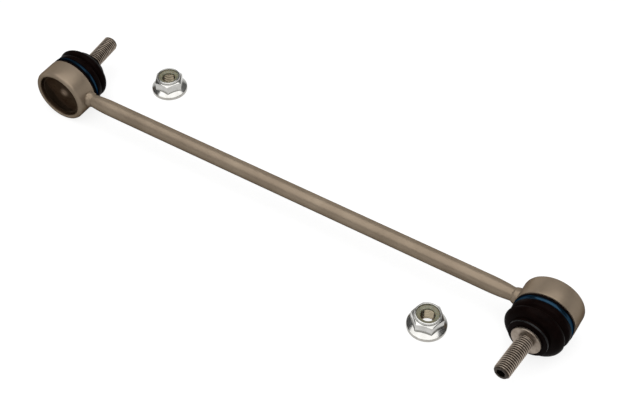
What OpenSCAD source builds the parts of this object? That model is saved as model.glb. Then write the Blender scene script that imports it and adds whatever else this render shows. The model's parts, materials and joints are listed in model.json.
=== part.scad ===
// Stabilizer link: a rod with a sealed ball joint welded to each end, and its two loose lock nuts.
// Millimetres. The origin is the middle of the rod, on its axis. X runs along the rod, with the
// far end at -X and the near end at +X. The link lies flat, with the far stud pointing to +Y and
// the near stud to -Y, and rests on the sides of its two housings.

/* [Rod] */
// Distance between the two ball centres, along the rod
centre_distance = 341; // [200:1:450]
// Diameter of the rod
rod_d = 10; // [9:0.5:14]
// Diameter of the rod where it is drawn in at its ends
rod_end_d = 8.2; // [6:0.2:8.8]
// Length of the drawn-in stretch, from the housing
rod_end_l = 12; // [8:0.5:20]
// Length of the weld bead along the rod
weld_l = 3.4; // [2:0.2:5]
// Height of the weld bead above the rod
weld_h = 1.1; // [0.6:0.1:2]

/* [Ball and shell] */
// Diameter of the ball
ball_d = 18; // [16:0.5:20]
// Running play between ball and shell, on the radius
ball_play = 0.05; // [0.02:0.01:0.1]
// Distance of the ball's centre from the rod's axis, towards the thread
ball_offset = 2.6; // [1:0.2:5]
// How far the ball stands out of the back of the shell
ball_stand = 1.4; // [0.8:0.1:2]
// Wall of the plastic shell beside the ball
shell_wall = 3.95; // [3:0.05:5]
// Bevel on the shell's front edge
shell_bevel = 1.5; // [0.5:0.1:2]
// Number of slots that let the shell's mouth spring over the ball
shell_slots = 6; // [3:1:10]
// Width of a slot
slot_w = 1; // [0.6:0.1:1.6]
// Swing of the stud to each side of the housing's axis, in degrees
swing = 25; // [15:1:28]

/* [Housing] */
// Wall of the housing around the shell
housing_wall = 5.4; // [4:0.1:7]
// Rounding of the housing's back edge
back_round = 3; // [1:0.2:3.4]
// Broken edge at the housing's front shoulder
shoulder_edge = 0.4; // [0.2:0.1:0.8]
// Height of the rolled rim behind the cap's edge
rim_h = 2.7; // [2.2:0.1:4]
// How far the rolled rim grips over the cap
rim_grip = 1.4; // [0.8:0.1:1.8]
// How far the rolled rim opens out towards the back
rim_flare = 0.8; // [0.2:0.1:1.2]
// Bevel on the inner edge of the rolled rim
rim_bevel = 0.9; // [0.4:0.1:1.2]
// Thickness of the front wall around the mouth
front_wall = 3; // [2:0.1:4]
// Length of the neck that the boot sits on
seat_l = 4.4; // [4:0.1:6]
// Wall of that neck around the shell
seat_wall = 1.8; // [1.2:0.1:2.4]
// Height of the lip at the end of the neck
seat_lip_h = 0.8; // [0.4:0.1:1.2]
// Width of that lip
seat_lip_w = 0.9; // [0.6:0.1:1.4]

/* [End cap] */
// Thickness of the pressed cap
cap_t = 1.5; // [1:0.1:2]
// Width of the ledge that the cap lies on
cap_ledge = 1.8; // [1.5:0.1:2.4]
// Flat border between the rolled rim and the cap's dome
cap_border = 1.2; // [0.6:0.1:2]
// Gap between the ball and the cap's dome
cap_gap = 0.5; // [0.3:0.1:1]

/* [Stud] */
// Diameter of the thread
thread_d = 10; // [8:1:12]
// Pitch of the thread
thread_pitch = 1.5; // [1:0.25:2]
// Length of the thread, from the collar to the tip
thread_l = 26; // [18:0.5:40]
// Bevel at the tip of the thread
tip_bevel = 1; // [0.5:0.1:1.5]
// Distance from the ball's centre to the collar's face
collar_reach = 23.1; // [21:0.1:28]
// Diameter of the collar
collar_d = 18.2; // [16:0.2:22]
// Thickness of the collar
collar_t = 1.6; // [1.2:0.1:2.2]
// Broken edge of the collar
collar_edge = 0.3; // [0.1:0.1:0.5]
// Diameter of the neck beside the ball
neck_d = 10.8; // [8:0.2:11.4]
// Diameter of the seat for the boot's lip
lip_seat_d = 13.2; // [12:0.2:15]
// Width across the flats of the hexagon socket in the tip
hex_af = 5; // [4:0.5:5.5]
// Depth of the hexagon socket
hex_depth = 6; // [3:0.5:8]
// Lean of the far stud away from the rod's middle, in degrees
far_lean = 5; // [-6:0.5:6]
// Lean of the near stud away from the rod's middle, in degrees
near_lean = -5; // [-6:0.5:6]

/* [Boot] */
// Gap between the boot and the metal that it seals on
boot_gap = 0.2; // [0.1:0.05:0.4]
// Wall of the boot
boot_wall = 1.8; // [1.4:0.1:2.2]
// How far the boot stays inside the housing's outline
boot_inset = 0.4; // [0.2:0.1:1]
// Height of the bead behind the clamp ring
bead_h = 1.5; // [1.5:0.1:2.4]
// Rounding of the bead and the ridge
bead_round = 0.6; // [0.3:0.1:0.7]
// Height of the ridge in front of the clamp ring
ridge_h = 3.3; // [2.6:0.1:4.5]
// Height from the ridge to the middle of the waist
waist_h = 1.7; // [1.4:0.1:2.2]
// Depth of the waist between ridge and bulge
waist_depth = 2.4; // [1.5:0.1:3]
// Height from the waist to the widest part of the bulge
bulge_h = 2.2; // [1.8:0.1:3.5]
// Height of the lip on the stud
lip_h = 2.2; // [1.8:0.1:3]
// Thickness of the lip
lip_wall = 5.4; // [4:0.1:6]
// Height of the neck between the bulge and the lip
boot_neck_h = 0.9; // [0.5:0.1:1.5]

/* [Rings] */
// Width of the clamp ring around the boot's base
ring_w = 2.7; // [1.8:0.1:3.2]
// Thickness of the clamp ring
ring_t = 1.2; // [0.8:0.1:1.4]
// Rounding of the clamp ring's outer edges
ring_round = 0.5; // [0.2:0.1:0.6]
// How far the clamp ring stays inside the housing's outline
ring_inset = 0.1; // [0.05:0.05:0.4]
// Wire of the spring ring around the boot's lip
wire_d = 1; // [0.8:0.1:1.2]
// How far the middle of the wire lies inside the lip's outline
wire_sink = 0.5; // [0.3:0.1:0.8]

/* [Nuts] */
// Width across the flats of the hexagon
nut_af = 17; // [15.5:0.5:19]
// Height of the nut
nut_h = 11.7; // [11:0.1:14]
// Diameter of the flange
flange_d = 23.5; // [21:0.1:27]
// Thickness of the flange at its rim
flange_t = 2.2; // [1.4:0.1:2.8]
// Broken edge of the flange
flange_edge = 0.4; // [0.2:0.1:0.6]
// Slope of the flange's upper side, in degrees
flange_slope = 26; // [10:1:28]
// Diameter of the round collar that holds the insert
nut_collar_d = 15.6; // [14.6:0.1:16.4]
// Height of that collar
nut_collar_h = 1.6; // [1.2:0.1:3]
// Rounding of the collar's rolled top
nut_collar_round = 0.8; // [0.4:0.1:1]
// Thickness of the rolled top over the insert
roll_t = 0.7; // [0.5:0.1:1]
// Wall of the collar around the insert
roll_wall = 1.1; // [0.7:0.1:1.2]
// How far the rolled top covers the insert
roll_cover = 0.2; // [0.1:0.1:1]
// Height of the nylon insert
insert_h = 2.2; // [1.6:0.1:2.6]
// Radial grip of the nylon on the thread's crest
insert_grip = 0.35; // [0.1:0.05:0.5]
// Place of the far nut, from the far ball towards the rod's middle
far_nut_in = 43.5; // [36:0.5:80]
// Distance of the far nut from the rod's axis
far_nut_out = 50.5; // [30:0.5:70]
// How far the far nut is turned about its axis, in degrees
far_nut_turn = 0; // [-30:1:30]
// Place of the near nut, from the near ball towards the rod's middle
near_nut_in = 57.6; // [36:0.1:80]
// Distance of the near nut from the rod's axis
near_nut_out = 32; // [30:0.5:70]
// How far the near nut is turned about its axis, in degrees
near_nut_turn = 13; // [-30:1:30]

/* [Hidden] */
$fn = 96;
over = 1;              // how far a cut runs past the surface that it opens
mouth_spare = 2;       // degrees that the shell's mouth stays clear of the neck at full swing
mouth_gap = 0.3;       // step from the shell's mouth out to the housing's mouth
arc_step = 10;         // degrees between the points of a rounded outline

ball_r = ball_d / 2;
neck_r = neck_d / 2;
thread_r = thread_d / 2;
collar_r = collar_d / 2;
rod_r = rod_d / 2;
rod_end_r = rod_end_d / 2;

// Ball, shell and cap, as heights along the housing's axis from the rod's axis
socket_r = ball_r + ball_play;
shell_r = socket_r + shell_wall;
housing_r = shell_r + housing_wall;
mouth_angle = asin(neck_r / ball_r) + swing + mouth_spare;
mouth_r = socket_r * sin(mouth_angle) + mouth_gap;
shell_front = ball_offset + socket_r * cos(mouth_angle);
shell_back = ball_offset - (ball_r - ball_stand);
cap_r = shell_r + cap_ledge;
cap_back = shell_back - cap_t;
rim_r = cap_r - rim_grip;
dome_r = rim_r - cap_border;
dome_h = ball_stand + cap_gap;
dome_curve = (dome_r * dome_r + dome_h * dome_h) / (2 * dome_h);
housing_back = cap_back - rim_h;
housing_front = shell_front + front_wall;
shoulder = housing_front - seat_l;
seat_r = shell_r + seat_wall;
seat_lip_r = seat_r + seat_lip_h;

// Boot and rings: heights from the rod's axis up to the waist, then from the ball's centre
boot_r = housing_r - boot_inset;
boot_base = shoulder + boot_gap;
ring_back = boot_base + bead_h;
ring_front = ring_back + ring_w;
ring_r = housing_r - ring_inset;
ring_in_r = ring_r - ring_t;
ridge_top = ring_front + ridge_h;
waist_r = boot_r - waist_depth;
waist_in_r = waist_r - boot_wall;
waist_mid = ridge_top + waist_h - ball_offset;
waist_curve = norm([waist_r, waist_mid]);
bulge_mid = waist_mid + bulge_h;
lip_in_r = lip_seat_d / 2 + boot_gap;
lip_r = lip_in_r + lip_wall;
lip_top = collar_reach - collar_t - boot_gap;
lip_base = lip_top - lip_h;
lip_mid = (lip_base + lip_top) / 2;
wire_ring_r = lip_r - wire_sink;

// Nut heights above the surface that it stands on
floor_z = -housing_r;
nut_hex_h = nut_h - nut_collar_h;
nut_corner_r = nut_af / 2 / cos(30);
nut_collar_r = nut_collar_d / 2;
nut_bore_r = (thread_d - thread_pitch) / 2;
insert_top = nut_h - roll_t;
insert_r = nut_collar_r - roll_wall;
insert_in_r = thread_r - insert_grip;

coat_colour = [0.55, 0.49, 0.43];
cap_colour = [0.17, 0.14, 0.11];
shell_colour = [0.90, 0.88, 0.82];
stud_colour = [0.60, 0.56, 0.51];
rubber_colour = [0.07, 0.06, 0.06];
ring_colour = [0.16, 0.40, 0.60];
wire_colour = [0.16, 0.16, 0.16];
zinc_colour = [0.78, 0.79, 0.80];
nylon_colour = [0.58, 0.56, 0.42];

// Points of a quarter ellipse about [r, h], from angle a to angle b
function bend(r, h, across, along, a, b) =
    [for (t = [a : arc_step * sign(b - a) : b]) [r + across * cos(t), h + along * sin(t)]];

// Joint frames: z points out along the housing's axis, x towards the rod's middle
module far_end() {
    translate([-centre_distance / 2, 0, 0]) rotate([-90, 0, 0]) children();
}

module near_end() {
    rotate([0, 0, 180]) far_end() children();
}

// Stud frame: z runs along the stud from the ball's centre
module leaning(lean) {
    translate([0, 0, ball_offset]) rotate([0, -lean, 0]) children();
}

// Section of a band around the axis with rounded outer edges
module band(r_in, r_out, low, high, edge) {
    translate([r_in, low]) square([r_out - r_in - edge, high - low]);
    translate([r_in, low + edge]) square([r_out - r_in, high - low - 2 * edge]);
    for (h = [low + edge, high - edge]) translate([r_out - edge, h]) circle(edge);
}

// The barrel that the rod and the welds are cut back to
module housing_barrel() {
    translate([0, 0, housing_back]) cylinder(r = housing_r, h = housing_front - housing_back);
}

module rod_shape() {
    half = centre_distance / 2 - housing_r;
    difference() {
        rotate([0, 90, 0]) rotate_extrude() polygon([
            [0, -half - over], [rod_end_r, -half - over], [rod_end_r, weld_l - half],
            [rod_r, rod_end_l - half], [rod_r, half - rod_end_l],
            [rod_end_r, half - weld_l], [rod_end_r, half + over], [0, half + over]
        ]);
        far_end() housing_barrel();
        near_end() housing_barrel();
    }
}

module weld_shape() {
    difference() {
        translate([-centre_distance / 2 + housing_r, 0, 0]) rotate([0, 90, 0]) rotate_extrude()
            polygon(concat(
                [[rod_end_r, -over], [rod_end_r + weld_h, -over]],
                bend(rod_end_r, 0, weld_h, weld_l, 0, 90)
            ));
        far_end() housing_barrel();
    }
}

// Space inside the housing that the bearing shell fills, as a half section
module shell_outline() {
    polygon([
        [0, shell_back], [shell_r, shell_back], [shell_r, shell_front - shell_bevel],
        [shell_r - shell_bevel, shell_front], [0, shell_front]
    ]);
}

module housing_shape() {
    rotate_extrude() difference() {
        union() {
            polygon([
                [0, housing_back + back_round], [housing_r, housing_back + back_round],
                [housing_r, shoulder - shoulder_edge], [housing_r - shoulder_edge, shoulder],
                [0, shoulder]
            ]);
            translate([0, housing_back]) square([housing_r - back_round, back_round]);
            intersection() {
                translate([housing_r - back_round, housing_back + back_round]) circle(back_round);
                translate([0, housing_back]) square([housing_r, back_round]);
            }
            translate([0, shoulder]) square([seat_r, seat_l]);
            translate([0, housing_front - seat_lip_w]) square([seat_lip_r, seat_lip_w]);
        }
        shell_outline();
        translate([0, cap_back]) square([cap_r, cap_t]);
        polygon([
            [0, cap_back], [rim_r, cap_back], [rim_r + rim_flare, housing_back + rim_bevel],
            [rim_r + rim_flare + rim_bevel, housing_back], [0, housing_back]
        ]);
        polygon([
            [0, shell_front], [mouth_r, shell_front],
            [mouth_r + front_wall * tan(swing + mouth_spare), housing_front], [0, housing_front]
        ]);
    }
}

module cap_shape() {
    rotate_extrude() difference() {
        union() {
            translate([0, cap_back]) square([cap_r, cap_t]);
            dome_section(cap_back);
        }
        dome_section(shell_back);
    }
}

// Half section of the cap's dome, which stands out of the level plane h towards the back
module dome_section(h) {
    intersection() {
        translate([0, h - dome_h + dome_curve]) circle(dome_curve);
        translate([0, h - dome_h]) square([dome_r, dome_h]);
    }
}

module bearing_shell_shape() {
    difference() {
        rotate_extrude() difference() {
            shell_outline();
            translate([0, ball_offset]) circle(socket_r);
        }
        for (i = [0 : shell_slots - 1]) rotate([0, 0, i * 360 / shell_slots])
            translate([0, -slot_w / 2, ball_offset]) cube([shell_r + over, slot_w, shell_front]);
    }
}

module ball_stud_shape() {
    tip = collar_reach + thread_l;
    collar_back = collar_reach - collar_t;
    lip_seat_r = lip_seat_d / 2;
    flare = (lip_base - ball_r) / 2;
    difference() {
        rotate_extrude() {
            intersection() {
                circle(ball_r);
                translate([0, -ball_r]) square([ball_r, ball_d]);
            }
            polygon([
                [0, 0], [neck_r, 0], [neck_r, ball_r + flare], [lip_seat_r, lip_base],
                [lip_seat_r, collar_back], [collar_r - collar_edge, collar_back],
                [collar_r, collar_back + collar_edge], [collar_r, collar_reach - collar_edge],
                [collar_r - collar_edge, collar_reach], [thread_r, collar_reach],
                [thread_r, tip - tip_bevel], [thread_r - tip_bevel, tip], [0, tip]
            ]);
        }
        translate([0, 0, tip - hex_depth])
            cylinder(d = hex_af / cos(30), h = hex_depth + over, $fn = 6);
    }
}

// The boot's base follows the housing and the rest follows the stud. They join in the waist, which
// is part of a sphere about the ball's centre, so that the two meet in it at any lean.
module boot_shape(lean) {
    intersection() {
        rotate_extrude() boot_base_section(waist_r * sin(abs(lean)));
        leaning(lean) translate([0, 0, -housing_r])
            cylinder(r = 2 * housing_r, h = housing_r + waist_mid + boot_wall / 2);
    }
    leaning(lean) rotate_extrude() boot_top_section();
}

module boot_base_section(reach) {
    waist_base = ridge_top - bead_round;
    waist_top = waist_mid + ball_offset + reach + boot_wall;
    difference() {
        union() {
            band(waist_in_r, boot_r, boot_base, ring_back, bead_round);
            translate([waist_in_r, boot_base]) square([ring_in_r - waist_in_r, ridge_top - boot_base]);
            band(waist_in_r, boot_r, ring_front, ridge_top, bead_round);
            intersection() {
                translate([0, ball_offset]) difference() {
                    circle(waist_curve);
                    circle(waist_curve - boot_wall);
                }
                translate([0, waist_base]) square([boot_r, waist_top - waist_base]);
            }
        }
        translate([0, boot_base]) square([seat_r + boot_gap, seat_l]);
        translate([0, housing_front - seat_lip_w - boot_gap])
            square([seat_lip_r + boot_gap, seat_lip_w + 2 * boot_gap]);
    }
}

module boot_top_section() {
    bulge_in_r = boot_r - boot_wall;
    lip_in_base = lip_base - boot_wall;
    groove_w = wire_d + boot_gap;
    difference() {
        polygon(concat(
            [[waist_r - boot_wall / 2, waist_mid]],
            bend(waist_r, bulge_mid, waist_depth, bulge_h, arc_step - 90, 0),
            bend(lip_r, bulge_mid, boot_r - lip_r, lip_base - boot_neck_h - bulge_mid, arc_step, 90),
            [[lip_r, lip_top], [lip_in_r, lip_top]],
            bend(lip_in_r, bulge_mid, bulge_in_r - lip_in_r, lip_in_base - bulge_mid, 90, 0)
        ));
        translate([wire_ring_r, lip_mid]) circle(groove_w / 2);
        translate([wire_ring_r, lip_mid - groove_w / 2]) square([wire_sink + over, groove_w]);
    }
}

module clamp_ring_shape() {
    rotate_extrude() band(ring_in_r, ring_r, ring_back, ring_front, ring_round);
}

module neck_ring_shape() {
    rotate_extrude() translate([wire_ring_r, lip_mid]) circle(wire_d / 2);
}

module flange_nut_shape() {
    flange_r = flange_d / 2;
    hex_bevel = (nut_corner_r + over - nut_collar_r) * tan(30);
    mouth_bevel = thread_r + flange_edge - nut_bore_r;
    difference() {
        union() {
            rotate_extrude() polygon([
                [0, 0], [flange_r - flange_edge, 0], [flange_r, flange_edge], [flange_r, flange_t],
                [nut_af / 2, flange_t + (flange_r - nut_af / 2) * tan(flange_slope)],
                [0, flange_t + (flange_r - nut_af / 2) * tan(flange_slope)]
            ]);
            intersection() {
                cylinder(r = nut_corner_r, h = nut_hex_h, $fn = 6);
                rotate_extrude() polygon([
                    [0, 0], [nut_corner_r + over, 0], [nut_corner_r + over, nut_hex_h - hex_bevel],
                    [nut_collar_r, nut_hex_h], [0, nut_hex_h]
                ]);
            }
            rotate_extrude() {
                translate([0, nut_hex_h - over])
                    square([nut_collar_r, nut_collar_h + over - nut_collar_round]);
                translate([0, nut_hex_h]) square([nut_collar_r - nut_collar_round, nut_collar_h]);
                translate([nut_collar_r - nut_collar_round, nut_h - nut_collar_round])
                    circle(nut_collar_round);
            }
        }
        translate([0, 0, -over]) cylinder(r = nut_bore_r, h = nut_h);
        translate([0, 0, insert_top - insert_h]) cylinder(r = insert_r, h = insert_h);
        translate([0, 0, insert_top - over]) cylinder(r = insert_r - roll_cover, h = roll_t + 2 * over);
        rotate_extrude() polygon([[0, 0], [nut_bore_r + mouth_bevel, 0], [nut_bore_r, mouth_bevel],
            [0, mouth_bevel]]);
    }
}

module nut_insert_shape() {
    rotate_extrude() translate([insert_in_r, insert_top - insert_h])
        square([insert_r - insert_in_r, insert_h]);
}

module at_far_nut() {
    translate([-centre_distance / 2 + far_nut_in, far_nut_out, floor_z])
        rotate([0, 0, far_nut_turn]) children();
}

module at_near_nut() {
    translate([centre_distance / 2 - near_nut_in, -near_nut_out, floor_z])
        rotate([0, 0, near_nut_turn]) children();
}

module rod() { color(coat_colour) rod_shape(); }
module far_weld() { color(coat_colour) weld_shape(); }
module near_weld() { color(coat_colour) rotate([0, 0, 180]) weld_shape(); }

module far_housing() { color(coat_colour) far_end() housing_shape(); }
module far_end_cap() { color(cap_colour) far_end() cap_shape(); }
module far_bearing_shell() { color(shell_colour) far_end() bearing_shell_shape(); }
module far_ball_stud() { color(stud_colour) far_end() leaning(far_lean) ball_stud_shape(); }
module far_boot() { color(rubber_colour) far_end() boot_shape(far_lean); }
module far_boot_clamp_ring() { color(ring_colour) far_end() clamp_ring_shape(); }
module far_neck_ring() { color(wire_colour) far_end() leaning(far_lean) neck_ring_shape(); }
module far_flange_nut() { color(zinc_colour) at_far_nut() flange_nut_shape(); }
module far_nut_insert() { color(nylon_colour) at_far_nut() nut_insert_shape(); }

module near_housing() { color(coat_colour) near_end() housing_shape(); }
module near_end_cap() { color(cap_colour) near_end() cap_shape(); }
module near_bearing_shell() { color(shell_colour) near_end() bearing_shell_shape(); }
module near_ball_stud() { color(stud_colour) near_end() leaning(near_lean) ball_stud_shape(); }
module near_boot() { color(rubber_colour) near_end() boot_shape(near_lean); }
module near_boot_clamp_ring() { color(ring_colour) near_end() clamp_ring_shape(); }
module near_neck_ring() { color(wire_colour) near_end() leaning(near_lean) neck_ring_shape(); }
module near_flange_nut() { color(zinc_colour) at_near_nut() flange_nut_shape(); }
module near_nut_insert() { color(nylon_colour) at_near_nut() nut_insert_shape(); }

rod();
far_weld();
near_weld();
far_housing();
far_end_cap();
far_bearing_shell();
far_ball_stud();
far_boot();
far_boot_clamp_ring();
far_neck_ring();
far_flange_nut();
far_nut_insert();
near_housing();
near_end_cap();
near_bearing_shell();
near_ball_stud();
near_boot();
near_boot_clamp_ring();
near_neck_ring();
near_flange_nut();
near_nut_insert();
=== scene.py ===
# %% [markdown]
# # Stabilizer link
#
# A stabilizer link ties a car's anti-roll bar to its suspension. A rod has a sealed ball joint
# welded to each end, and two flange nuts lie beside it. The solids and their joints come from CAD.
# Blender adds what makes them look real: rounded edges, cut threads, a boot bent over to the stud, and a
# finish for every surface. Each piece takes its place and main sizes from the loaded solids.

import json
from math import cos, pi, radians, sin, tan, tau

import bmesh
import bpy
from mathutils import Matrix, Vector, noise


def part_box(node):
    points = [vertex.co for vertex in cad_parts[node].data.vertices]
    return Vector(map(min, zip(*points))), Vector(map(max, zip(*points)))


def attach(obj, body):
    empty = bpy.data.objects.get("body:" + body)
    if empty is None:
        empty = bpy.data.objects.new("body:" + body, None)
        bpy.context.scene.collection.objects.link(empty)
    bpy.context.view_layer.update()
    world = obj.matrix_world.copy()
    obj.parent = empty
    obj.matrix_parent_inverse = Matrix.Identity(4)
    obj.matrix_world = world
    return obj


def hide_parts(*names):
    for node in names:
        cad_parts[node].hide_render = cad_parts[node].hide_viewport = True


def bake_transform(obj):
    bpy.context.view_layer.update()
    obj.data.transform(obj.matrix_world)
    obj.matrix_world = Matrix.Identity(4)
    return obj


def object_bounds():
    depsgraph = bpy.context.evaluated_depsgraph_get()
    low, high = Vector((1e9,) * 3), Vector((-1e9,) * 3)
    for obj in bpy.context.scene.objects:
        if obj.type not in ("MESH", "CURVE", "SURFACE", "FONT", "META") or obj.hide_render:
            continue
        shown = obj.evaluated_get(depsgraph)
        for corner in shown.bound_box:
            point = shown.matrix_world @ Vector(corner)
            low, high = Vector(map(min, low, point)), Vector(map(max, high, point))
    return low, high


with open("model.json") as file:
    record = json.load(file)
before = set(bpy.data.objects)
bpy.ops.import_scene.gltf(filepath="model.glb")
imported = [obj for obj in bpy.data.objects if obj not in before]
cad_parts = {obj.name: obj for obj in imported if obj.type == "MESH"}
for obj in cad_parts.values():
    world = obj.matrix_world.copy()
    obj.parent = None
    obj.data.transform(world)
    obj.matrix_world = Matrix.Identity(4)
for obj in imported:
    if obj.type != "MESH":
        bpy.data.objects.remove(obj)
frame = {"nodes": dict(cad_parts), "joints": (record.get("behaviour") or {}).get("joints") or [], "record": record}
cad_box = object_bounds()
print("solids:", len(frame["nodes"]), "box:", [tuple(round(c, 4) for c in corner) for corner in cad_box])

# %% [markdown]
# ## Where the two ends are
#
# Everything on a ball joint is round, so it is easiest to draw each piece upright about z and to
# place it afterwards. Two matrices for each end do that. `head` stands on the rod's axis and points
# along the housing. `stud` stands in the ball's centre and points along the leaning stud.

# %% Frames of the joints
mm = 0.001
ends = ("far", "near")
up = Vector((0, 0, 1))
joints = {joint["name"]: joint for joint in frame["joints"]}


def facing(origin, axis):
    """A frame whose z runs along a level axis from origin, with its y straight up."""
    z = Vector(axis).normalized()
    turn = Matrix((up.cross(z), up, z)).transposed()
    return Matrix.Translation(origin) @ turn.to_4x4()


ball = {end: Vector(joints[f"{end}_stud_spin"]["pos_m"]) for end in ends}
head = {}
stud = {}
for end in ends:
    head[end] = facing((ball[end].x, 0, 0), joints[f"{end}_stud_swivel"]["axis"])
    stud[end] = facing(ball[end], joints[f"{end}_stud_spin"]["axis"])
    print(end, "ball centre:", tuple(round(c / mm, 2) for c in ball[end]), "mm")

# %% [markdown]
# ## Sizes from the solids
#
# A node's box gives its reach along the housing's axis and its radius, so the dressed pieces follow
# the solids if these change. The stud's mount gives its thread.

# %% Sizes in millimetres


def reach(node):
    """Lowest and highest point of a far-end node along the housing's axis, from the rod's axis."""
    heights = [(head["far"].inverted() @ corner).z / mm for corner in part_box(f"far_{node}")]
    return min(heights), max(heights)


def radius(node):
    """Radius of a far-end node that is round about a level axis."""
    low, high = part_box(f"far_{node}")
    return (high.z - low.z) / 2 / mm


mounts = {mount["name"]: mount for mount in frame["record"]["mounts"]}
thread_mount = mounts["far_stud_thread"]
ball_offset = abs(ball["far"].y) / mm
housing_back, housing_front = reach("housing")
housing_r = radius("housing")
cap_back, shell_back = reach("end_cap")
cap_r = radius("end_cap")
shell_r = radius("bearing_shell")
shell_front = reach("bearing_shell")[1]
ring_back, ring_front = reach("boot_clamp_ring")
ring_r = radius("boot_clamp_ring")
boot_base = reach("boot")[0]
collar_r = radius("ball_stud")
thread_r = thread_mount["dims"]["r_mm"]
thread_mid = (Vector(thread_mount["pos_m"]) - ball["far"]).length / mm
collar_face = thread_mid - thread_mount["dims"]["length_mm"] / 2
print("housing radius", round(housing_r, 2), "mm, thread radius", thread_r, "mm")
print("collar face", round(collar_face, 2), "mm from the ball's centre")

# %% [markdown]
# ## Turned pieces
#
# Nearly every piece here is turned, rolled or moulded round an axis. A lathe works from an outline,
# and so does Blender's spin: a wire of a few corners, each rounded by a vertex bevel, is spun once
# round z. Merging doubles closes the seam and the poles, and the normals are then recalculated.

# %% Outline, spin and close


def draw(shape, corners, closed=False, segments=5):
    """Draws a wire of (radius, height, rounding) corners, in millimetres, and rounds its corners."""
    wire = [shape.verts.new((r * mm, 0, h * mm)) for r, h, rounding in corners]
    for one, two in zip(wire, wire[1:]):
        shape.edges.new((one, two))
    if closed:
        shape.edges.new((wire[-1], wire[0]))
    for corner, (r, h, rounding) in zip(wire, corners):
        if rounding:
            bmesh.ops.bevel(shape, geom=[corner], offset=rounding * mm, segments=segments, profile=0.5,
                            affect="VERTICES", material=-1)


def close(shape, gap=0.002):
    """Merges points closer than gap millimetres and turns all faces outwards."""
    bmesh.ops.remove_doubles(shape, verts=shape.verts[:], dist=gap * mm)
    bmesh.ops.recalc_face_normals(shape, faces=shape.faces[:])


def turned(corners, closed=False, steps=96):
    """Spins an outline once round z."""
    shape = bmesh.new()
    draw(shape, corners, closed)
    bmesh.ops.spin(shape, geom=shape.verts[:] + shape.edges[:], cent=(0, 0, 0), axis=(0, 0, 1),
                   angle=tau, steps=steps, use_merge=True)
    close(shape)
    return shape


def fill_level(shape, height):
    """Fills the level gap between the open loops of a shape at one height, in millimetres."""
    loops = [edge for edge in shape.edges if len(edge.link_faces) < 2
             and all(abs(vert.co.z / mm - height) < 0.01 for vert in edge.verts)]
    bmesh.ops.triangle_fill(shape, edges=loops, use_beauty=True, normal=(0, 0, 1))


def open_edges(shape):
    """How many edges don't have exactly two faces. A closed piece has none."""
    return sum(not edge.is_manifold for edge in shape.edges)


test_pin = turned([(0, 0, 0), (4, 0, 1), (4, 5, 1), (0, 5, 0)])
print("a test pin has", len(test_pin.faces), "faces and", open_edges(test_pin), "open edges")
test_pin.free()

# %% [markdown]
# ## Handing a piece over
#
# A finished shape becomes an object at the origin with its place in its mesh, as the CAD nodes are.
# It stands for its CAD node, which it hides, and gets one finish. Most pieces are then put on a
# body. Curved faces are shaded smooth, and edges steeper than 35 degrees stay crisp.

# %% Make the object
crease = radians(35)


def make_piece(shape, name, place, material):
    """Turns a shape into the object that stands for the CAD node of the same name."""
    shape.transform(place)
    mesh = bpy.data.meshes.new(name)
    shape.to_mesh(mesh)
    shape.free()
    mesh.shade_smooth()
    mesh.set_sharp_from_angle(angle=crease)
    mesh.materials.append(material)
    piece = bpy.data.objects.new(f"{name}_dressed", mesh)
    bpy.context.scene.collection.objects.link(piece)
    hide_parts(name)
    print(piece.name, "has", len(mesh.polygons), "faces")
    return piece


# %% [markdown]
# ## Finishes
#
# Each finish is a Principled shader fed by noise in object coordinates, so it stays put from every
# side. A small class keeps the node building short: noise, a colour ramp, a range of roughness and
# a bump. Painted shade and painted highlights follow the shape, which noise can't do, so a piece's
# points may carry a number that tints its colour. Numbers that are the same all over are set on the
# shader itself.

# %% Words for building a finish


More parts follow.
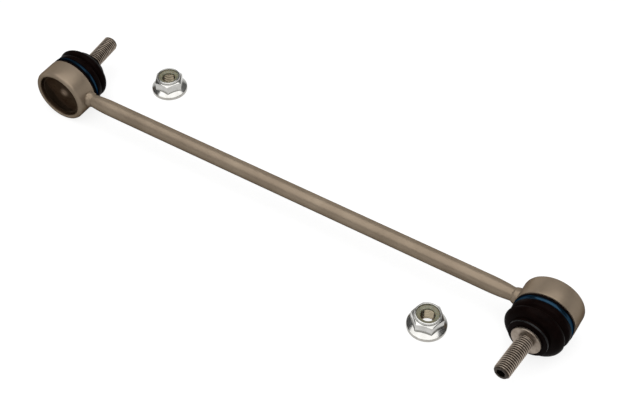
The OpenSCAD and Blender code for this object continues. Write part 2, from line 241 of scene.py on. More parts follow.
class Finish:
    """A material with one Principled shader and short words for the nodes that feed it."""

    def __init__(self, name, settings):
        self.material = bpy.data.materials.new(name)
        self.material.use_nodes = True
        self.nodes = self.material.node_tree.nodes
        self.links = self.material.node_tree.links
        self.shader = self.nodes["Principled BSDF"]
        self.place = self.nodes.new("ShaderNodeTexCoord").outputs["Object"]
        for socket, value in settings.items():
            self.shader.inputs[socket].default_value = value
        print("finish:", name)

    def noise(self, grain, detail=4.0):
        """Noise whose grains are about that many millimetres across."""
        texture = self.nodes.new("ShaderNodeTexNoise")
        texture.inputs["Scale"].default_value = 1 / (grain * mm)
        texture.inputs["Detail"].default_value = detail
        self.links.new(self.place, texture.inputs["Vector"])
        return texture.outputs["Fac"]

    def ramp(self, pattern, stops):
        """Turns a pattern into colour through (place, colour) stops."""
        ramp = self.nodes.new("ShaderNodeValToRGB")
        elements = ramp.color_ramp.elements
        while len(elements) < len(stops):
            elements.new(0.5)
        for element, (place, colour) in zip(elements, stops):
            element.position = place
            element.color = (*colour, 1)
        self.links.new(pattern, ramp.inputs["Fac"])
        return ramp.outputs["Color"]

    def colours(self, pattern, stops):
        """Feeds the base colour from a pattern through (place, colour) stops."""
        self.links.new(self.ramp(pattern, stops), self.shader.inputs["Base Color"])

    def roughness(self, pattern, low, high):
        """Feeds the roughness, between low and high, from noise, which rarely leaves 0.3 to 0.7."""
        span = self.nodes.new("ShaderNodeMapRange")
        span.inputs["From Min"].default_value = 0.3
        span.inputs["From Max"].default_value = 0.7
        span.inputs["To Min"].default_value = low
        span.inputs["To Max"].default_value = high
        self.links.new(pattern, span.inputs["Value"])
        self.links.new(span.outputs["Result"], self.shader.inputs["Roughness"])

    def tint(self, attribute, stops):
        """Multiplies the base colour by (place, colour) stops that follow a number on each point."""
        value = self.nodes.new("ShaderNodeAttribute")
        value.attribute_name = attribute
        multiply = self.nodes.new("ShaderNodeVectorMath")
        multiply.operation = "MULTIPLY"
        base = self.shader.inputs["Base Color"]
        self.links.new(base.links[0].from_socket, multiply.inputs[0])
        self.links.new(self.ramp(value.outputs["Fac"], stops), multiply.inputs[1])
        self.links.new(multiply.outputs["Vector"], base)

    def bump(self, pattern, height):
        """Roughens the surface by a pattern of that height in millimetres."""
        bump = self.nodes.new("ShaderNodeBump")
        bump.inputs["Distance"].default_value = height * mm
        self.links.new(pattern, bump.inputs["Height"])
        self.links.new(bump.outputs["Normal"], self.shader.inputs["Normal"])


print("a finish can use:", [word for word in vars(Finish) if not word.startswith("_")])

# %% [markdown]
# ## Coated steel
#
# The rod, the welds and the housings share one satin coating, a warm grey with a faint brown cloud
# and a fine sprayed grain. Metal flakes in it give a soft sheen along the rod, so the shader is partly
# metallic. A clear gloss would mirror the white floor along every edge. The specular level is therefore
# zero, and a dark specular tint keeps the metal's own edges dark too. Where a piece's points carry a
# share of painted shade, the coat's colour is darkened by it.

# %% The coat
white = (1, 1, 1)
dark_edge = (0.15, 0.12, 0.10, 1)
coat = Finish("coated_steel", {"Metallic": 0.35, "Specular IOR Level": 0, "Specular Tint": dark_edge})
coat.colours(coat.noise(14, 6), [
    (0.30, (0.230, 0.181, 0.132)),
    (0.52, (0.258, 0.204, 0.150)),
    (0.72, (0.286, 0.228, 0.169)),
])
# Painted shade inside the housings' rolled rims.
coat.tint("grime", [(0, white), (1, (0.14, 0.11, 0.09))])
coat.roughness(coat.noise(4), 0.28, 0.38)
coat.bump(coat.noise(0.5), 0.02)

# %% [markdown]
# ## Rod
#
# The rod is plain bar, drawn in a little where it meets the housings. It is turned like the rest,
# with long soft roundings at the taper, and then laid along x. Its ends run into the housings' walls.

# %% Turn the rod
rod_low, rod_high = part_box("rod")
rod_r = (rod_high.y - rod_low.y) / 2 / mm
rod_half = rod_high.x / mm
rod_end_r = 4.1
rod_end_l = 12
weld_l = 3.4
rod = turned([
    (0, -rod_half, 0),
    (rod_end_r, -rod_half, 0),
    (rod_end_r, weld_l - rod_half, 1),
    (rod_r, rod_end_l - rod_half, 5),
    (rod_r, rod_half - rod_end_l, 5),
    (rod_end_r, rod_half - weld_l, 1),
    (rod_end_r, rod_half, 0),
    (0, rod_half, 0),
])
along_x = Matrix.Rotation(pi / 2, 4, "Y")
rod_piece = make_piece(rod, "rod", along_x, coat.material)
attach(rod_piece, "link")

# %% [markdown]
# ## Weld beads
#
# A narrow bead joins the rod to each housing. It starts as a turned ring that runs out on the rod.
# Noise then pushes its surface in and out a little, because a weld is never even.

# %% Lay the welds
weld_r = radius("weld")
weld_in_r = rod_end_r - 0.6
weld_root = -1.6
ripple_size = 1.6
ripple_depth = 0.035
ripple_sink = 0.6


def weld_bead():
    """A ripply ring about z that runs out towards +z."""
    bead = turned([
        (weld_in_r, weld_root, 0),
        (weld_r, weld_root, 0),
        (weld_r, 0.4, 0.5),
        (weld_r - 0.3, weld_l - 1.3, 0.6),
        (rod_end_r + 0.1, weld_l - 0.2, 0.15),
        (rod_end_r, weld_l, 0),
        (weld_in_r, weld_l, 0),
    ], closed=True)
    for vert in bead.verts:
        swell = 1 + ripple_depth * (noise.noise(vert.co / (ripple_size * mm)) - ripple_sink)
        vert.co.x *= swell
        vert.co.y *= swell
    return bead


for end in ends:
    inward = -1 if ball[end].x > 0 else 1
    wall = Vector((ball[end].x + inward * housing_r * mm, 0, 0))
    place = Matrix.Translation(wall) @ Matrix.Rotation(inward * pi / 2, 4, "Y")
    weld_piece = make_piece(weld_bead(), f"{end}_weld", place, coat.material)
    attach(weld_piece, "link")

# %% [markdown]
# ## Housings
#
# A housing is a short steel cup. Its back rim is rolled over the end cap, and at the front a neck
# holds the boot. The outline goes round the whole wall, inside and out, so the spin makes a closed
# ring. The large rounding at the back is what catches the light. Shade is painted inside the rolled
# rim, and a number on each point says how much.

# %% Turn the housings
back_round = 2.4
shoulder = boot_base - 0.2
seat_r = shell_r + 1.8
seat_lip_r = seat_r + 0.8
seat_lip = housing_front - 0.9
mouth_r = 8.4
mouth_flare = 1.5
rim_r = cap_r - 0.3
rim_flare = 0.3
rim_bevel = 0.9
rim_depth = 1.0
cap_plate = shell_back - 1.5
grime_r = rim_r + 1.0
grime_fade = 0.6


def housing():
    """The wall of a housing, with its bore, cap seat, rolled rim and boot neck."""
    shape = turned([
        (housing_r, housing_back, back_round),
        (housing_r, shoulder, 0.4),
        (seat_r, shoulder, 0.2),
        (seat_r, seat_lip, 0.2),
        (seat_lip_r, seat_lip, 0.2),
        (seat_lip_r, housing_front, 0.3),
        (mouth_r + mouth_flare, housing_front, 0.3),
        (mouth_r, shell_front, 0.2),
        (shell_r, shell_front, 0.5),
        (shell_r, shell_back, 0),
        (cap_r, shell_back, 0),
        (cap_r, cap_plate, 0),
        (rim_r, cap_plate, 0),
        (rim_r + rim_flare, housing_back + rim_depth, 0.4),
        (rim_r + rim_flare + rim_bevel, housing_back, 0.4),
    ], closed=True, steps=128)
    # Painted shade: points inside the rolled rim get a share of shade that darkens their colour.
    grime = shape.verts.layers.float.new("grime")
    for vert in shape.verts:
        in_rim = vert.co.z / mm < cap_plate + 0.1
        share = min(1, (grime_r - vert.co.xy.length / mm) / grime_fade)
        vert[grime] = max(0, share) if in_rim else 0
    return shape


for end in ends:
    housing_piece = make_piece(housing(), f"{end}_housing", head[end], coat.material)
    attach(housing_piece, "link")

# %% [markdown]
# ## End caps
#
# A pressed cap closes the back of each housing. It is dark brown, with a highlight painted as one
# light spot and a light line along the dome's edge. A few points on a parabola give its dome, and
# the flat border lies under the rolled rim. Each point keeps how much highlight is painted on it, and
# the finish reads that.

# %% Press the caps
cap_brown = Finish("cap_steel", {"Metallic": 0.3, "Specular IOR Level": 0, "Specular Tint": dark_edge})
cap_brown.colours(cap_brown.noise(9, 5), [
    (0.30, (0.180, 0.130, 0.092)),
    (0.70, (0.285, 0.218, 0.164)),
])
# Painted highlight: a light spot and a light line at the dome's edge on the dark cap.
cap_brown.tint("rubbed", [(0, (0.18, 0.16, 0.14)), (1, white)])
cap_brown.roughness(cap_brown.noise(3), 0.24, 0.36)
cap_brown.bump(cap_brown.noise(0.7), 0.012)

dome_r = rim_r - 0.3
hollow_r = shell_r - 0.8
dome_h = cap_plate - cap_back
dome_steps = 20
rubbed_spot = Vector((-4.8, 5.1)) * mm
rubbed_spot_r = 3.8
rubbed_edge_r = dome_r - 0.4
rubbed_edge_w = 0.7
rubbed_edge_share = 0.3


def ease(share):
    """Turns an even rise from 0 to 1 into one that starts and stops softly."""
    return share * share * (3 - 2 * share)


def dome(base, edge_r):
    """Points of a dome from its middle to its edge, standing out towards the back."""
    shares = [step / dome_steps for step in range(dome_steps + 1)]
    return [(edge_r * share, base - dome_h * (1 - share * share), 0) for share in shares]


def end_cap():
    """The domed plate, from its outer middle round its edge to its inner middle."""
    border = [(cap_r, cap_plate, 0.2), (cap_r, shell_back, 0.2)]
    shape = turned(dome(cap_plate, dome_r) + border + dome(shell_back, hollow_r)[::-1])
    # Painted highlight: one spot and a line near the dome's edge are marked to be lighter.
    rubbed = shape.verts.layers.float.new("rubbed")
    for vert in shape.verts:
        spot = max(0, 1 - (vert.co.xy - rubbed_spot).length / mm / rubbed_spot_r)
        edge = max(0, 1 - abs(vert.co.xy.length / mm - rubbed_edge_r) / rubbed_edge_w)
        vert[rubbed] = max(ease(spot), rubbed_edge_share * edge)
    return shape


for end in ends:
    cap_piece = make_piece(end_cap(), f"{end}_end_cap", head[end], cap_brown.material)
    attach(cap_piece, "link")

# %% [markdown]
# ## Bearing shells
#
# The slotted plastic shell sits unseen around the ball. The CAD node already has the right shape, so
# it stays and only gets a finish: pale moulded plastic with a slight cloud.

# %% Finish the shells
shell_plastic = Finish("bearing_plastic", {"Specular IOR Level": 0.4, "Subsurface Weight": 0.1})
shell_plastic.colours(shell_plastic.noise(6), [
    (0.3, (0.70, 0.68, 0.60)),
    (0.7, (0.78, 0.76, 0.69)),
])
shell_plastic.roughness(shell_plastic.noise(2), 0.40, 0.55)
for end in ends:
    shell_mesh = frame["nodes"][f"{end}_bearing_shell"].data
    shell_mesh.materials.clear()
    shell_mesh.materials.append(shell_plastic.material)
    print(end, "shell keeps its solid and gets", shell_plastic.material.name)

# %% [markdown]
# ## Threads
#
# A thread is a helix, and spin can climb while it turns: `dvec` lifts the wire at each step. The wire
# is one pitch high, so one turn ends where the next begins. One turn is spun, copied upwards and joined
# by merging doubles, which is much faster than spinning all the turns. The helix is made too long and
# cut square at both ends.

# %% Cut a thread
pitch = 1.5
flank = 0.3125 * pitch
thread_steps = 60


def thread(root, crest, low, high):
    """A thread's surface about z between two heights, with open ends. All in millimetres."""
    shape = bmesh.new()
    base = low - pitch
    draw(shape, [
        (root, base, 0),
        (root, base + pitch / 8, 0.07),
        (crest, base + pitch / 8 + flank, 0.05),
        (crest, base + pitch / 4 + flank, 0.05),
        (root, base + pitch / 4 + 2 * flank, 0.07),
        (root, base + pitch, 0),
    ], segments=2)
    bmesh.ops.spin(shape, geom=shape.verts[:] + shape.edges[:], cent=(0, 0, 0), axis=(0, 0, 1),
                   dvec=(0, 0, pitch * mm / thread_steps), angle=tau, steps=thread_steps)
    turn = shape.verts[:] + shape.edges[:] + shape.faces[:]
    for lift in range(1, int((high - low) / pitch) + 3):
        copy = bmesh.ops.duplicate(shape, geom=turn)["geom"]
        copied = [part for part in copy if isinstance(part, bmesh.types.BMVert)]
        bmesh.ops.translate(shape, verts=copied, vec=(0, 0, lift * pitch * mm))
    close(shape, 0.01)
    for height, side in ((low, -1), (high, 1)):
        bmesh.ops.bisect_plane(shape, geom=shape.verts[:] + shape.edges[:] + shape.faces[:], dist=1e-7,
                               plane_co=(0, 0, height * mm), plane_no=(0, 0, side), clear_outer=True)
    return shape


def join(shape, other):
    """Adds another shape's faces to a shape."""
    carrier = bpy.data.meshes.new("carrier")
    other.to_mesh(carrier)
    other.free()
    shape.from_mesh(carrier)
    bpy.data.meshes.remove(carrier)


print("thread pitch", pitch, "mm, each flank", round(flank, 3), "mm high")

# %% [markdown]
# ## Ball studs
#
# The stud is one forging: ball, neck, seat for the boot, collar and thread, with a hexagon socket in
# the tip to hold it by. The turned part stops open at the collar and the thread stops open at both
# ends. Filling the level gaps between their loops makes one closed skin. The socket starts as a
# six-sided loop in the tip, is pushed in and is closed with a drilled point. Shade is painted into
# the thread's grooves and the socket, so each point keeps how near it is to the crest.

# %% Steel of the studs
stud_steel = Finish("stud_steel", {"Metallic": 0.9})
stud_steel.colours(stud_steel.noise(3.2, 7), [
    (0.30, (0.310, 0.252, 0.200)),
    (0.50, (0.405, 0.335, 0.272)),
    (0.75, (0.530, 0.450, 0.375)),
])
# Painted shade in the thread's grooves and the hexagon socket.
stud_steel.tint("crest", [(0.3, (0.08, 0.07, 0.06)), (1, white)])
stud_steel.roughness(stud_steel.noise(1.5), 0.30, 0.48)
stud_steel.bump(stud_steel.noise(0.35), 0.012)

# %% Turn and thread the studs
ball_r = 9
ball_last = 145
ball_step = 8
neck_r = 5.4
neck_low = 8
neck_high = 14
lip_seat_r = 6.6
lip_seat_low = 19
collar_t = 1.6
collar_low = collar_face - collar_t
tip_bevel = 1
tip = collar_face + thread_mount["dims"]["length_mm"] + tip_bevel
thread_root = thread_r - 0.8
shank = thread_r - 0.3
runout = 1.4
plain_depth = 0.25
hex_af = 5
hex_r = hex_af / 2 / cos(pi / 6)
hex_depth = 6
drill_point = 1.2


def ball_points():
    """Points of the ball from its pole to where the neck leaves it."""
    angles = [radians(a) for a in range(0, ball_last, ball_step)]
    return [(ball_r * sin(a), -ball_r * cos(a), 0) for a in angles]


def ball_stud():
    """One closed stud about z, with the ball's centre at the origin."""
    shape = turned(ball_points() + [
        (neck_r, neck_low, 0.5),
        (neck_r, neck_high, 2),
        (lip_seat_r, lip_seat_low, 1),
        (lip_seat_r, collar_low, 0.3),
        (collar_r, collar_low, 0.3),
        (collar_r, collar_face, 0.35),
        (thread_r + 0.2, collar_face, 0),
    ])
    helix = thread(thread_root, thread_r, collar_face, tip)
    for vert in helix.verts:
        distance = vert.co.xy.length / mm
        height = vert.co.z / mm
        share = min(1, (height - collar_face) / runout)
        target = shank + (distance - shank) * share
        target = min(target, thread_r - max(0, height - tip + tip_bevel))
        vert.co.xy *= target / distance
    join(shape, helix)
    fill_level(shape, collar_face)
    at_tip = Matrix.Translation((0, 0, tip * mm))
    bmesh.ops.create_circle(shape, segments=6, radius=hex_r * mm, matrix=at_tip)
    mouth = [edge for edge in shape.edges if not edge.link_faces]
    fill_level(shape, tip)
    wall = bmesh.ops.extrude_edge_only(shape, edges=mouth)["geom"]
    floor_verts = [part for part in wall if isinstance(part, bmesh.types.BMVert)]
    floor_edges = [part for part in wall if isinstance(part, bmesh.types.BMEdge) and part.is_boundary]
    bmesh.ops.translate(shape, verts=floor_verts, vec=(0, 0, -hex_depth * mm))
    floor = bmesh.ops.contextual_create(shape, geom=floor_edges)["faces"]
    bmesh.ops.recalc_face_normals(shape, faces=shape.faces[:])
    bmesh.ops.poke(shape, faces=floor, offset=-drill_point * mm)
    # Painted shade: grooves and the socket are marked darker the farther they lie below the crest.
    crest = shape.verts.layers.float.new("crest")
    for vert in shape.verts:
        distance = vert.co.xy.length / mm
        on_thread = vert.co.z / mm > collar_face + 0.1
        depth = (thread_r - distance) / (thread_r - thread_root) if on_thread else plain_depth
        vert[crest] = max(0, 1 - depth)
    return shape


for end in ends:
    blank = ball_stud()
    print(end, "stud has", open_edges(blank), "open edges")
    stud_piece = make_piece(blank, f"{end}_ball_stud", stud[end], stud_steel.material)
    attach(stud_piece, f"{end}_stud")

# %% [markdown] ## Boots  The boot is a moulded rubber bellows: a bead behind the clamp ring, a ridge
# before it, a deep waist, a wide bulge and a lip on the stud. It is turned straight and then leaned
# over by degrees, from the housing's face, where it stands still, to the lip, where it follows the
# stud. The rubber is nearly black and hardly shines.

# %% Rubber
rubber = Finish("boot_rubber", {"Specular IOR Level": 0.01})
rubber.colours(rubber.noise(5, 6), [
    (0.30, (0.0028, 0.0013, 0.0011)),
    (0.70, (0.0062, 0.0031, 0.0026)),
])
rubber.roughness(rubber.noise(2.5), 0.30, 0.42)
rubber.bump(rubber.noise(0.45), 0.02)

# %% Mould the boots
boot_r = housing_r - 0.4
ring_in_r = ring_r - 1.2
seat_gap = 0.2
waist_r = 15.6
waist = ring_front + 5
waist_back_r = 16.5
waist_front_r = 17.4
ridge_front = waist - 1.9
bulge_crest = waist + 2.2
lip_r = radius("neck_ring")
lip_in_r = lip_seat_r + seat_gap
lip_top = ball_offset + collar_low - seat_gap
lip_base = lip_top - 2.2
neck = lip_base - 0.9
groove_r = lip_r - 1.1
groove_edge = 0.5
groove_slope = 0.1
hollow_neck_r = 10.4
hollow_neck = 20.1
hollow_side_r = 14.2
hollow_side = 19
hollow_bulge_r = 16.4
hollow_waist_r = 13.9
skirt = housing_front - 1.1
over_face = housing_front + seat_gap


def bulge():
    """Points of the bulge's outside, a quarter of an ellipse from its crest to the neck."""
    wide = boot_r - lip_r
    high = neck - bulge_crest
    angles = [radians(a) for a in range(0, 91, 9)]
    return [(lip_r + wide * cos(a), bulge_crest + high * sin(a), 0) for a in angles]


def boot():
    """The boot about z, straight, with heights from the rod's axis."""
    outside = [
        (seat_r + seat_gap, boot_base, 0.2),
        (boot_r, boot_base, 0.5),
        (boot_r, ring_back, 0.5),
        (ring_in_r, ring_back, 0.1),
        (ring_in_r, ring_front, 0.1),
        (boot_r, ring_front, 0.6),
        (boot_r, ridge_front, 0.9),
        (waist_back_r, waist - 0.9, 0.5),
        (waist_r, waist, 0.6),
        (waist_front_r, waist + 0.8, 0.5),
    ] + bulge() + [
        (lip_r, lip_base, 0),
        (lip_r, lip_base + groove_edge, 0.2),
        (groove_r, lip_base + groove_edge + groove_slope, 0.2),
        (groove_r, lip_top - groove_edge - groove_slope, 0.2),
        (lip_r, lip_top - groove_edge, 0.2),
        (lip_r, lip_top, 0.35),
    ]
    inside = [
        (lip_in_r, lip_top, 0.2),
        (lip_in_r, lip_base, 0.6),
        (hollow_neck_r, hollow_neck, 1.0),
        (hollow_side_r, hollow_side, 1.0),
        (hollow_bulge_r, bulge_crest + 0.2, 0.6),
        (hollow_waist_r, waist, 0.5),
        (hollow_waist_r, over_face, 0.2),
        (seat_lip_r + seat_gap, over_face, 0.1),
        (seat_lip_r + seat_gap, skirt, 0.1),
        (seat_r + seat_gap, skirt, 0.1),
    ]
    return turned(outside + inside, closed=True)


def lean(shape, end):
    """Leans a placed boot from the housing's axis over to the stud's, more and more towards the lip."""
    upright = head[end].col[2].xyz
    leaning = stud[end].col[2].xyz
    axis = upright.cross(leaning)
    angle = upright.angle(leaning)
    flat = head[end].inverted()
    for vert in shape.verts:
        height = (flat @ vert.co).z / mm
        share = min(1, max(0, (height - over_face) / (lip_base - over_face)))
        turn = Matrix.Rotation(angle * ease(share), 3, axis)
        vert.co = ball[end] + turn @ (vert.co - ball[end])


for end in ends:
    rest = boot()
    rest.transform(head[end])
    lean(rest, end)
    boot_piece = make_piece(rest, f"{end}_boot", Matrix(), rubber.material)
    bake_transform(boot_piece)

# %% [markdown]
# ## Clamp rings
#
# A blue ring holds the boot's base on the housing's neck. Its front edge is well rounded, so a bright
# line runs round its upper side. Its back edge is tight, and shade is painted along it beside the
# housing. As on the coat, a dark specular tint keeps the white floor from washing out the blue.

# %% Roll the clamp rings
ring_blue = Finish("clamp_ring", {"Metallic": 0.8, "Specular IOR Level": 0, "Specular Tint": dark_edge})
ring_blue.colours(ring_blue.noise(7), [
    (0.30, (0.0095, 0.0260, 0.0460)),
    (0.70, (0.0155, 0.0390, 0.0660)),
])
# Painted shade along the ring's back edge beside the housing.
ring_blue.tint("clean", [(0, (0.12, 0.14, 0.16)), (0.6, white)])
ring_blue.roughness(ring_blue.noise(2), 0.14, 0.20)
ring_blue.bump(ring_blue.noise(0.6), 0.01)
ring_back_round = 0.45
ring_front_round = 1.3
ring_shade_w = 0.55
ring_clean = 1.2


def clamp_ring():
    """The band about z, with shade painted along its back edge."""
    band = turned([
        (ring_in_r, ring_back, 0.1),
        (ring_r, ring_back, ring_back_round),
        (ring_r, ring_back + ring_shade_w, 0),
        (ring_r, ring_back + ring_clean, 0),
        (ring_r, ring_front, ring_front_round),
        (ring_in_r, ring_front, 0.1),
    ], closed=True, steps=128)
    # Painted shade: the back edge beside the housing is marked darker.
    clean = band.verts.layers.float.new("clean")
    for vert in band.verts:
        share = (vert.co.z / mm - ring_back - ring_shade_w) / (ring_clean - ring_shade_w)
        vert[clean] = min(1, max(0, share))
    return band


for end in ends:
    band = clamp_ring()
    ring_piece = make_piece(band, f"{end}_boot_clamp_ring", head[end], ring_blue.material)
    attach(ring_piece, f"{end}_boot_base")

# %% [markdown]
# ## Neck rings
#
# A spring wire holds the boot's lip on the stud. It is wound twice round, which a climbing spin of a
# small circle gives, and its two cut ends are closed with a face each.

# %% Wind the neck rings
wire_dark = Finish("spring_wire", {"Metallic": 0.8})
wire_dark.colours(wire_dark.noise(2), [(0.3, (0.016, 0.016, 0.016)), (0.7, (0.030, 0.030, 0.030))])
wire_dark.roughness(wire_dark.noise(1), 0.30, 0.45)
wire_r = 0.3
coil_r = radius("neck_ring") - wire_r
coil_turns = 2.1
coil_steps = 96


def neck_ring():
    """Two turns of wire about z, centred on z = 0."""
    shape = bmesh.new()
    low = -wire_r * coil_turns * mm
    lie = Matrix.Translation((coil_r * mm, 0, low)) @ Matrix.Rotation(pi / 2, 4, "X")
    bmesh.ops.create_circle(shape, segments=10, radius=wire_r * mm, matrix=lie)
    steps = int(coil_turns * coil_steps)
    bmesh.ops.spin(shape, geom=shape.verts[:] + shape.edges[:], cent=(0, 0, 0), axis=(0, 0, 1),
                   dvec=(0, 0, 2 * wire_r * mm / coil_steps), angle=tau * coil_turns, steps=steps)
    cut_ends = [edge for edge in shape.edges if edge.is_boundary]
    bmesh.ops.holes_fill(shape, edges=cut_ends)
    bmesh.ops.recalc_face_normals(shape, faces=shape.faces[:])
    return shape


lip_mid = (lip_base + lip_top) / 2 - ball_offset
for end in ends:
    place = stud[end] @ Matrix.Translation((0, 0, lip_mid * mm))
    wire_piece = make_piece(neck_ring(), f"{end}_neck_ring", place, wire_dark.material)
    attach(wire_piece, f"{end}_boot_neck")

# %% [markdown]
# ## Flange nuts
#
# The nut is turned and then pressed to a hexagon. Two rows of points mark where the hexagon's side
# starts on the flange's slope and stops at the bevel above. Each point moves in to the hexagon, and
# up or down until it lies on the slope or the bevel. This draws the curved lines that a real nut has
# where these faces meet. The bore is a thread, and its ends are filled in to the rims. Shade is
# painted into the bore in brown, and a little along the flange's low edge, so each point keeps how
# much painted shade it has.

# %% Zinc plating
zinc = Finish("zinc_steel", {"Metallic": 1.0})
zinc.colours(zinc.noise(3.5, 5), [
    (0.30, (0.420, 0.414, 0.394)),
    (0.55, (0.490, 0.484, 0.462)),
    (0.75, (0.570, 0.564, 0.546)),
])
# Painted shade, in brown, in the bore and a little on the flange's low edge.
zinc.tint("outside", [(0, (0.42, 0.36, 0.27)), (1, white)])
zinc.roughness(zinc.noise(1.8), 0.12, 0.22)
zinc.bump(zinc.noise(0.5), 0.008)

# %% Press and thread the nuts
nut_low, nut_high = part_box("far_flange_nut")
insert_low, insert_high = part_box("far_nut_insert")
flange_r = (nut_high.x - nut_low.x) / 2 / mm
nut_h = (nut_high.z - nut_low.z) / mm
insert_r = (insert_high.x - insert_low.x) / 2 / mm
insert_base = (insert_low.z - nut_low.z) / mm
insert_top = (insert_high.z - nut_low.z) / mm
bore_r = mounts["far_nut_thread"]["dims"]["r_mm"]
nut_af = 17
nut_corner_r = nut_af / 2 / cos(pi / 6)
flange_t = 2.2
flange_slope = tan(radians(26))
nut_collar_r = 7.8
hex_top = nut_h - 1.6
hex_bevel = tan(radians(30))
shoulder_r = nut_collar_r + 0.2
undercut_r = nut_collar_r - 0.3
worn_edge = 0.15
nut_root = thread_r + 0.08
nut_mouth = 0.6
nut_mouth_r = thread_r + 0.5
bore_shade_r = thread_r + 0.3
flange_edge = flange_t - 0.05
flange_shade_share = 0.7
nut_turn = {"far": 0, "near": 13}


def hexagon_r(angle):
    """Distance from the nut's axis to the hexagon's side, with a corner at angle zero."""
    return nut_af / 2 / cos((angle % (pi / 3)) - pi / 6)


def flange_nut():
    """One closed nut standing on z = 0."""
    shape = turned([
        (nut_root, nut_mouth, 0),
        (nut_mouth_r, 0, 0.1),
        (flange_r, 0, 0.4),
        (flange_r, flange_t, 0.25),
        (nut_corner_r, flange_t + 1, 0),
        (nut_corner_r, hex_top - 1, 0),
        (shoulder_r, hex_top, 0.1),
        (undercut_r, hex_top, 0.15),
        (undercut_r, hex_top + 0.3, 0.1),
        (nut_collar_r, hex_top + 0.5, 0.15),
        (nut_collar_r, nut_h, 0.65),
        (insert_r, nut_h, 0.3),
        (insert_r, insert_base, 0),
        (nut_root, insert_base, 0),
    ])
    sides = [vert for vert in shape.verts if abs(vert.co.xy.length / mm - nut_corner_r) < 0.01]
    for vert in sides:
        side = hexagon_r(-Vector((1, 0)).angle_signed(vert.co.xy))
        rise = flange_t + (flange_r - side) * flange_slope
        fall = hex_top - (side - shoulder_r) * hex_bevel
        vert.co.xy *= side / nut_corner_r
        vert.co.z = (rise if vert.co.z / mm < nut_h / 2 else fall) * mm
    worn = []
    for edge in shape.edges:
        if all(vert in sides for vert in edge.verts):
            on_top = all(vert.co.z / mm > nut_h / 2 for vert in edge.verts)
            on_corner = all(vert.co.xy.length / mm > nut_corner_r - 0.01 for vert in edge.verts)
            if on_top or on_corner:
                worn.append(edge)
    bmesh.ops.bevel(shape, geom=worn, offset=worn_edge * mm, offset_type="OFFSET", segments=2,
                    profile=0.5, affect="EDGES", material=-1)
    join(shape, thread(nut_root, bore_r, nut_mouth, insert_base))
    for height in (nut_mouth, insert_base):
        fill_level(shape, height)
    close(shape)
    # Painted shade: the bore is marked fully, in brown, and the flange's low edge in part.
    outside = shape.verts.layers.float.new("outside")
    for vert in shape.verts:
        vert[outside] = 1
        if vert.co.z / mm < flange_edge:
            vert[outside] = flange_shade_share
        if vert.co.xy.length / mm < bore_shade_r:
            vert[outside] = 0
    return shape


nut_place = {}
for end in ends:
    spot = Vector(mounts[f"{end}_nut_thread"]["pos_m"])
    spot.z = nut_low.z
    nut_place[end] = Matrix.Translation(spot) @ Matrix.Rotation(radians(nut_turn[end]), 4, "Z")
    blank = flange_nut()
    print(end, "nut has", open_edges(blank), "open edges")
    nut_piece = make_piece(blank, f"{end}_flange_nut", nut_place[end], zinc.material)
    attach(nut_piece, f"{end}_nut")

# %% [markdown]
# ## Nylon inserts
#
# A nylon ring in the nut's collar grips the thread so that the nut can't shake loose. It is an olive
# tan, slightly see-through plastic, dished towards the hole.

# %% Mould the inserts
nylon = Finish("nylon", {"Specular IOR Level": 0.45, "Subsurface Weight": 0.15})
nylon.colours(nylon.noise(2.5), [
    (0.3, (0.150, 0.132, 0.082)),
    (0.7, (0.225, 0.200, 0.135)),
])
nylon.roughness(nylon.noise(1.2), 0.35, 0.50)
nylon_in_r = 4.3
nylon_face = insert_top - 0.4
nylon_flat = 0.7
nylon_dish = 0.5
for end in ends:
    washer = turned([
        (nylon_in_r, insert_base, 0.2),
        (insert_r, insert_base, 0.2),
        (insert_r, nylon_face, 0.1),
        (insert_r - nylon_flat, nylon_face, 0.3),
        (nylon_in_r, nylon_face - nylon_dish, 0.3),
    ], closed=True)
    insert_piece = make_piece(washer, f"{end}_nut_insert", nut_place[end], nylon.material)
    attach(insert_piece, f"{end}_nut")

# %% [markdown]
# ## Studio
#
# The object lies on a white sheet in a dim room, under one large soft light. A faint one behind lifts
# the far edges. The camera, mirrors and glass see a white floor and horizon below a dark ceiling. All
# other rays get less light from both, so that the rod's edges fall off to shade. Part of the floor's
# white is painted, and only that part darkens in the object's shadow.

# %% Rays that show the background


def seen_directly(nodes, links):
    """A socket that is 1 for camera, mirror and glass rays, and 0 for all others."""
    ray = nodes.new("ShaderNodeLightPath")
    first = nodes.new("ShaderNodeMath")
    first.operation = "MAXIMUM"
    links.new(ray.outputs["Is Camera Ray"], first.inputs[0])
    links.new(ray.outputs["Is Glossy Ray"], first.inputs[1])
    second = nodes.new("ShaderNodeMath")
    second.operation = "MAXIMUM"
    links.new(first.outputs["Value"], second.inputs[0])
    links.new(ray.outputs["Is Transmission Ray"], second.inputs[1])
    return second.outputs["Value"]


# %% Floor
floor_paint = Finish("floor_white", {"Roughness": 1, "Specular IOR Level": 0})
paint_seen = 0.25
paint_felt = 0.14
glow = 0.82
direct = seen_directly(floor_paint.nodes, floor_paint.links)
paint = floor_paint.nodes.new("ShaderNodeMapRange")
paint.inputs["To Min"].default_value = paint_felt
paint.inputs["To Max"].default_value = paint_seen
floor_paint.links.new(direct, paint.inputs["Value"])
floor_paint.links.new(paint.outputs["Result"], floor_paint.shader.inputs["Base Color"])
shine = floor_paint.nodes.new("ShaderNodeMath")
shine.operation = "MULTIPLY"
shine.inputs[1].default_value = glow
floor_paint.links.new(direct, shine.inputs[0])
floor_paint.links.new(shine.outputs["Value"], floor_paint.shader.inputs["Emission Strength"])
floor_paint.shader.inputs["Emission Color"].default_value = (1, 1, 1, 1)
floor_shape = bmesh.new()
bmesh.ops.create_grid(floor_shape, x_segments=1, y_segments=1, size=4)
bmesh.ops.translate(floor_shape, verts=floor_shape.verts[:], vec=(0, 0, cad_box[0].z))
floor_mesh = bpy.data.meshes.new("floor")
floor_shape.to_mesh(floor_mesh)
floor_shape.free()
floor_mesh.materials.append(floor_paint.material)
floor_sheet = bpy.data.objects.new("floor", floor_mesh)
bpy.context.scene.collection.objects.link(floor_sheet)
print("floor at", round(cad_box[0].z / mm, 2), "mm")

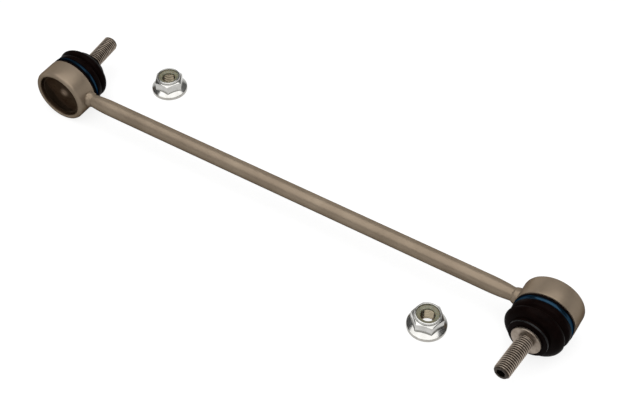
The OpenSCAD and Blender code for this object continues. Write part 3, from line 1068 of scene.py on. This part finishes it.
# %% World
horizon_top = 0.20
ceiling_from = 0.36
ceiling_light = 0.10
room_light = 0.05
world = bpy.data.worlds.new("white_studio")
bpy.context.scene.world = world
world.use_nodes = True
sky = world.node_tree.nodes
wires = world.node_tree.links
bearing = sky.new("ShaderNodeSeparateXYZ")
wires.new(sky.new("ShaderNodeTexCoord").outputs["Generated"], bearing.inputs["Vector"])
ceiling = sky.new("ShaderNodeMapRange")
ceiling.inputs["From Min"].default_value = horizon_top
ceiling.inputs["From Max"].default_value = ceiling_from
ceiling.inputs["To Min"].default_value = 1
ceiling.inputs["To Max"].default_value = ceiling_light
wires.new(bearing.outputs["Z"], ceiling.inputs["Value"])
room = sky.new("ShaderNodeBackground")
wires.new(ceiling.outputs["Result"], room.inputs["Strength"])
room.inputs["Color"].default_value = (1, 1, 1, 1)
dim = sky["Background"]
dim.inputs["Color"].default_value = (1, 1, 1, 1)
dim.inputs["Strength"].default_value = room_light
choice = sky.new("ShaderNodeMixShader")
wires.new(seen_directly(sky, wires), choice.inputs["Fac"])
wires.new(dim.outputs["Background"], choice.inputs[1])
wires.new(room.outputs["Background"], choice.inputs[2])
wires.new(choice.outputs["Shader"], sky["World Output"].inputs["Surface"])
print("world:", world.name)

# %% Lights


def softbox(name, place, size, power):
    """A square area light that looks at the middle of the object."""
    lamp = bpy.data.lights.new(name, "AREA")
    lamp.size = size
    lamp.energy = power
    box = bpy.data.objects.new(name, lamp)
    box.location = place
    box.rotation_euler = (-Vector(place)).to_track_quat("-Z", "Y").to_euler()
    bpy.context.scene.collection.objects.link(box)
    print(name, power, "W")


softbox("overhead", place=(0.05, -0.20, 0.95), size=1.8, power=20.5)
softbox("back", place=(-0.05, 0.64, 0.80), size=1.1, power=0.4)

# %% [markdown]
# ## Camera
#
# The camera stands where the photograph was taken from: to the right of the front and well above.

# %% Place the camera
aim = Vector((18.3, -3.43, -1.4)) * mm
azimuth = radians(31.78)
elevation = radians(48.40)
camera_distance = 714.48 * mm
back = Vector((sin(azimuth) * cos(elevation), -cos(azimuth) * cos(elevation), sin(elevation)))
lens = bpy.data.cameras.new("camera")
lens.sensor_width = 36
lens.lens = 69.37
lens.clip_start = 0.01
camera = bpy.data.objects.new("camera", lens)
camera.location = aim + back * camera_distance
camera.rotation_euler = (-back).to_track_quat("-Z", "Y").to_euler()
bpy.context.scene.collection.objects.link(camera)
bpy.context.scene.camera = camera
bpy.context.scene.view_settings.view_transform = "Standard"
print("camera at", tuple(round(c, 3) for c in camera.location))
